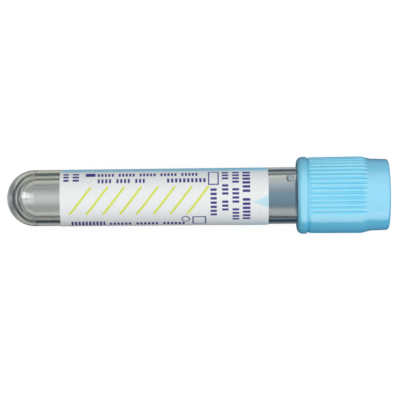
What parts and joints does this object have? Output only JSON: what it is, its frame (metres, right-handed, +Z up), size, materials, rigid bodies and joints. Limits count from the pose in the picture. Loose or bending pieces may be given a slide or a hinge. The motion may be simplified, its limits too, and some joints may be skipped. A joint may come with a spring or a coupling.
{
  "type": "blood collection tube",
  "caption": "Evacuated round-ended clear tube with an inner liner, a wrap label, citrate solution, and a rubber stopper in a ribbed pull-off shield.",
  "frame": {"origin": "centre of the whole part's footprint box, on the surface that the tube lies on", "axes": "+X along the tube towards the closure, which the resting tilt lifts; +Z up, towards the middle of the label; +Y towards the label's striped edge"},
  "size_m": [0.0864, 0.0174, 0.0179],
  "materials": {
    "clear_pet": "clear polished polyester, faintly grey",
    "clear_pp": "clear polypropylene with a light haze",
    "label_paper": "satin white label stock with blue, green and navy print",
    "solution": "clear watery liquid",
    "stopper_rubber": "matt grey-blue stopper rubber",
    "shield_plastic": "light blue moulded plastic, satin and slightly translucent"
  },
  "bodies": {
    "tube": {"outer_tube": "clear_pet", "inner_tube": "clear_pp", "label": "label_paper", "citrate_solution": "solution"},
    "closure": {"stopper": "stopper_rubber", "shield": "shield_plastic"}
  },
  "joints": [
    {"name": "closure_pull", "type": "slide", "parent": "tube", "child": "closure", "axis": [0.9992, 0, 0.0393], "range_m": [0, 0.025]}
  ]
}
